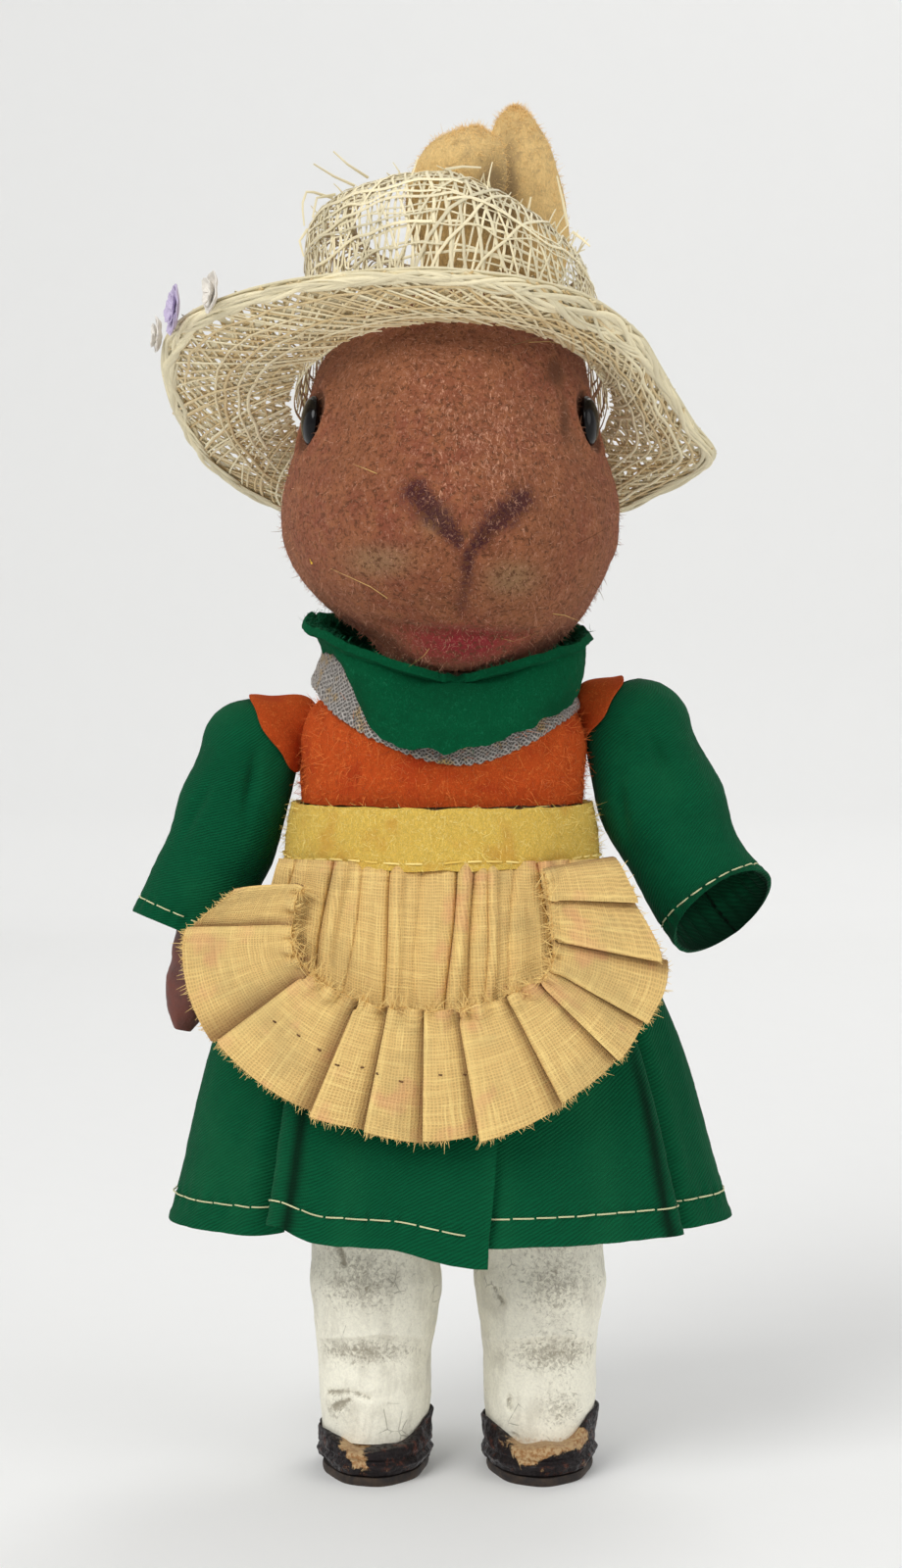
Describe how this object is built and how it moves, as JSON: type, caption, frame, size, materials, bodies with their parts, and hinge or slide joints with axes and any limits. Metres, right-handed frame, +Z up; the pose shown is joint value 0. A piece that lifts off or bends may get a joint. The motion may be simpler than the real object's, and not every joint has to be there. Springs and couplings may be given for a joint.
{
  "type": "dressed rabbit toy",
  "caption": "Standing dressed rabbit toy with a turning head, lifting arms, straw net hat, felt bodice, pleated linen apron and a wrap skirt over moulded legs and shoes.",
  "frame": {"origin": "on the ground under the soles, at the centre of the toy's own box in X and Y", "axes": "+Z up, the toy faces -Y, its own left side is +X"},
  "size_m": [0.0932, 0.0702, 0.1976],
  "materials": {
    "flock": "brown flock on pressed paper pulp",
    "plush": "tan napped plush, mottled",
    "straw": "open straw net",
    "lilac": "lilac paper petals",
    "white": "white paper petals",
    "bead": "opaque black glass, glossy",
    "iron": "annealed iron wire",
    "wood": "plain turned dowel",
    "composition": "bare paper pulp composition",
    "hand": "brown painted composition",
    "orange_felt": "orange wool felt, worn",
    "green_felt": "green wool felt, fuzzy edge",
    "yellow_felt": "yellow wool felt, stitched",
    "braid": "tarnished metallic braid",
    "twill": "green cotton twill, stitched hems",
    "linen": "tan linen, frayed edges",
    "leg_paint": "cream paint on composition, cracked and dirty",
    "shoe_paint": "black paint on composition, chipped",
    "card": "dark card sole"
  },
  "bodies": {
    "torso": {"torso_core": "composition", "neck_peg": "wood", "shoulder_wire": "iron", "bodice": "orange_felt", "felt_collar": "green_felt", "neck_ribbon": "braid", "waistband": "yellow_felt", "skirt": "twill", "apron_panel": "linen", "apron_ruffle": "linen", "left_leg": "leg_paint", "right_leg": "leg_paint", "left_leg_peg": "wood", "right_leg_peg": "wood", "left_shoe": "shoe_paint", "right_shoe": "shoe_paint", "left_sole": "card", "right_sole": "card"},
    "head": {"head_front_shell": "flock", "head_back_shell": "flock", "left_eye": "bead", "right_eye": "bead", "left_eye_pin": "iron", "right_eye_pin": "iron", "left_ear": "plush", "right_ear": "plush", "hat_crown": "straw", "hat_brim": "straw", "lilac_flower": "lilac", "white_flower": "white", "flower_bud": "white"},
    "left_limb": {"left_arm": "hand", "left_arm_wire": "iron", "left_sleeve": "twill"},
    "right_limb": {"right_arm": "hand", "right_arm_wire": "iron", "right_sleeve": "twill"}
  },
  "joints": [
    {"name": "neck_turn", "type": "hinge", "parent": "torso", "child": "head", "pos_m": [-0.0003, 0.0001, 0.1162], "axis": [0, 0, 1], "range_deg": [-30, 30]},
    {"name": "right_shoulder", "type": "hinge", "parent": "torso", "child": "right_limb", "pos_m": [-0.0295, 0.0016, 0.1046], "axis": [0, 1, 0], "range_deg": [0, 70]},
    {"name": "left_shoulder", "type": "hinge", "parent": "torso", "child": "left_limb", "pos_m": [0.027, 0.0016, 0.107], "axis": [0, -1, 0], "range_deg": [0, 70]}
  ]
}
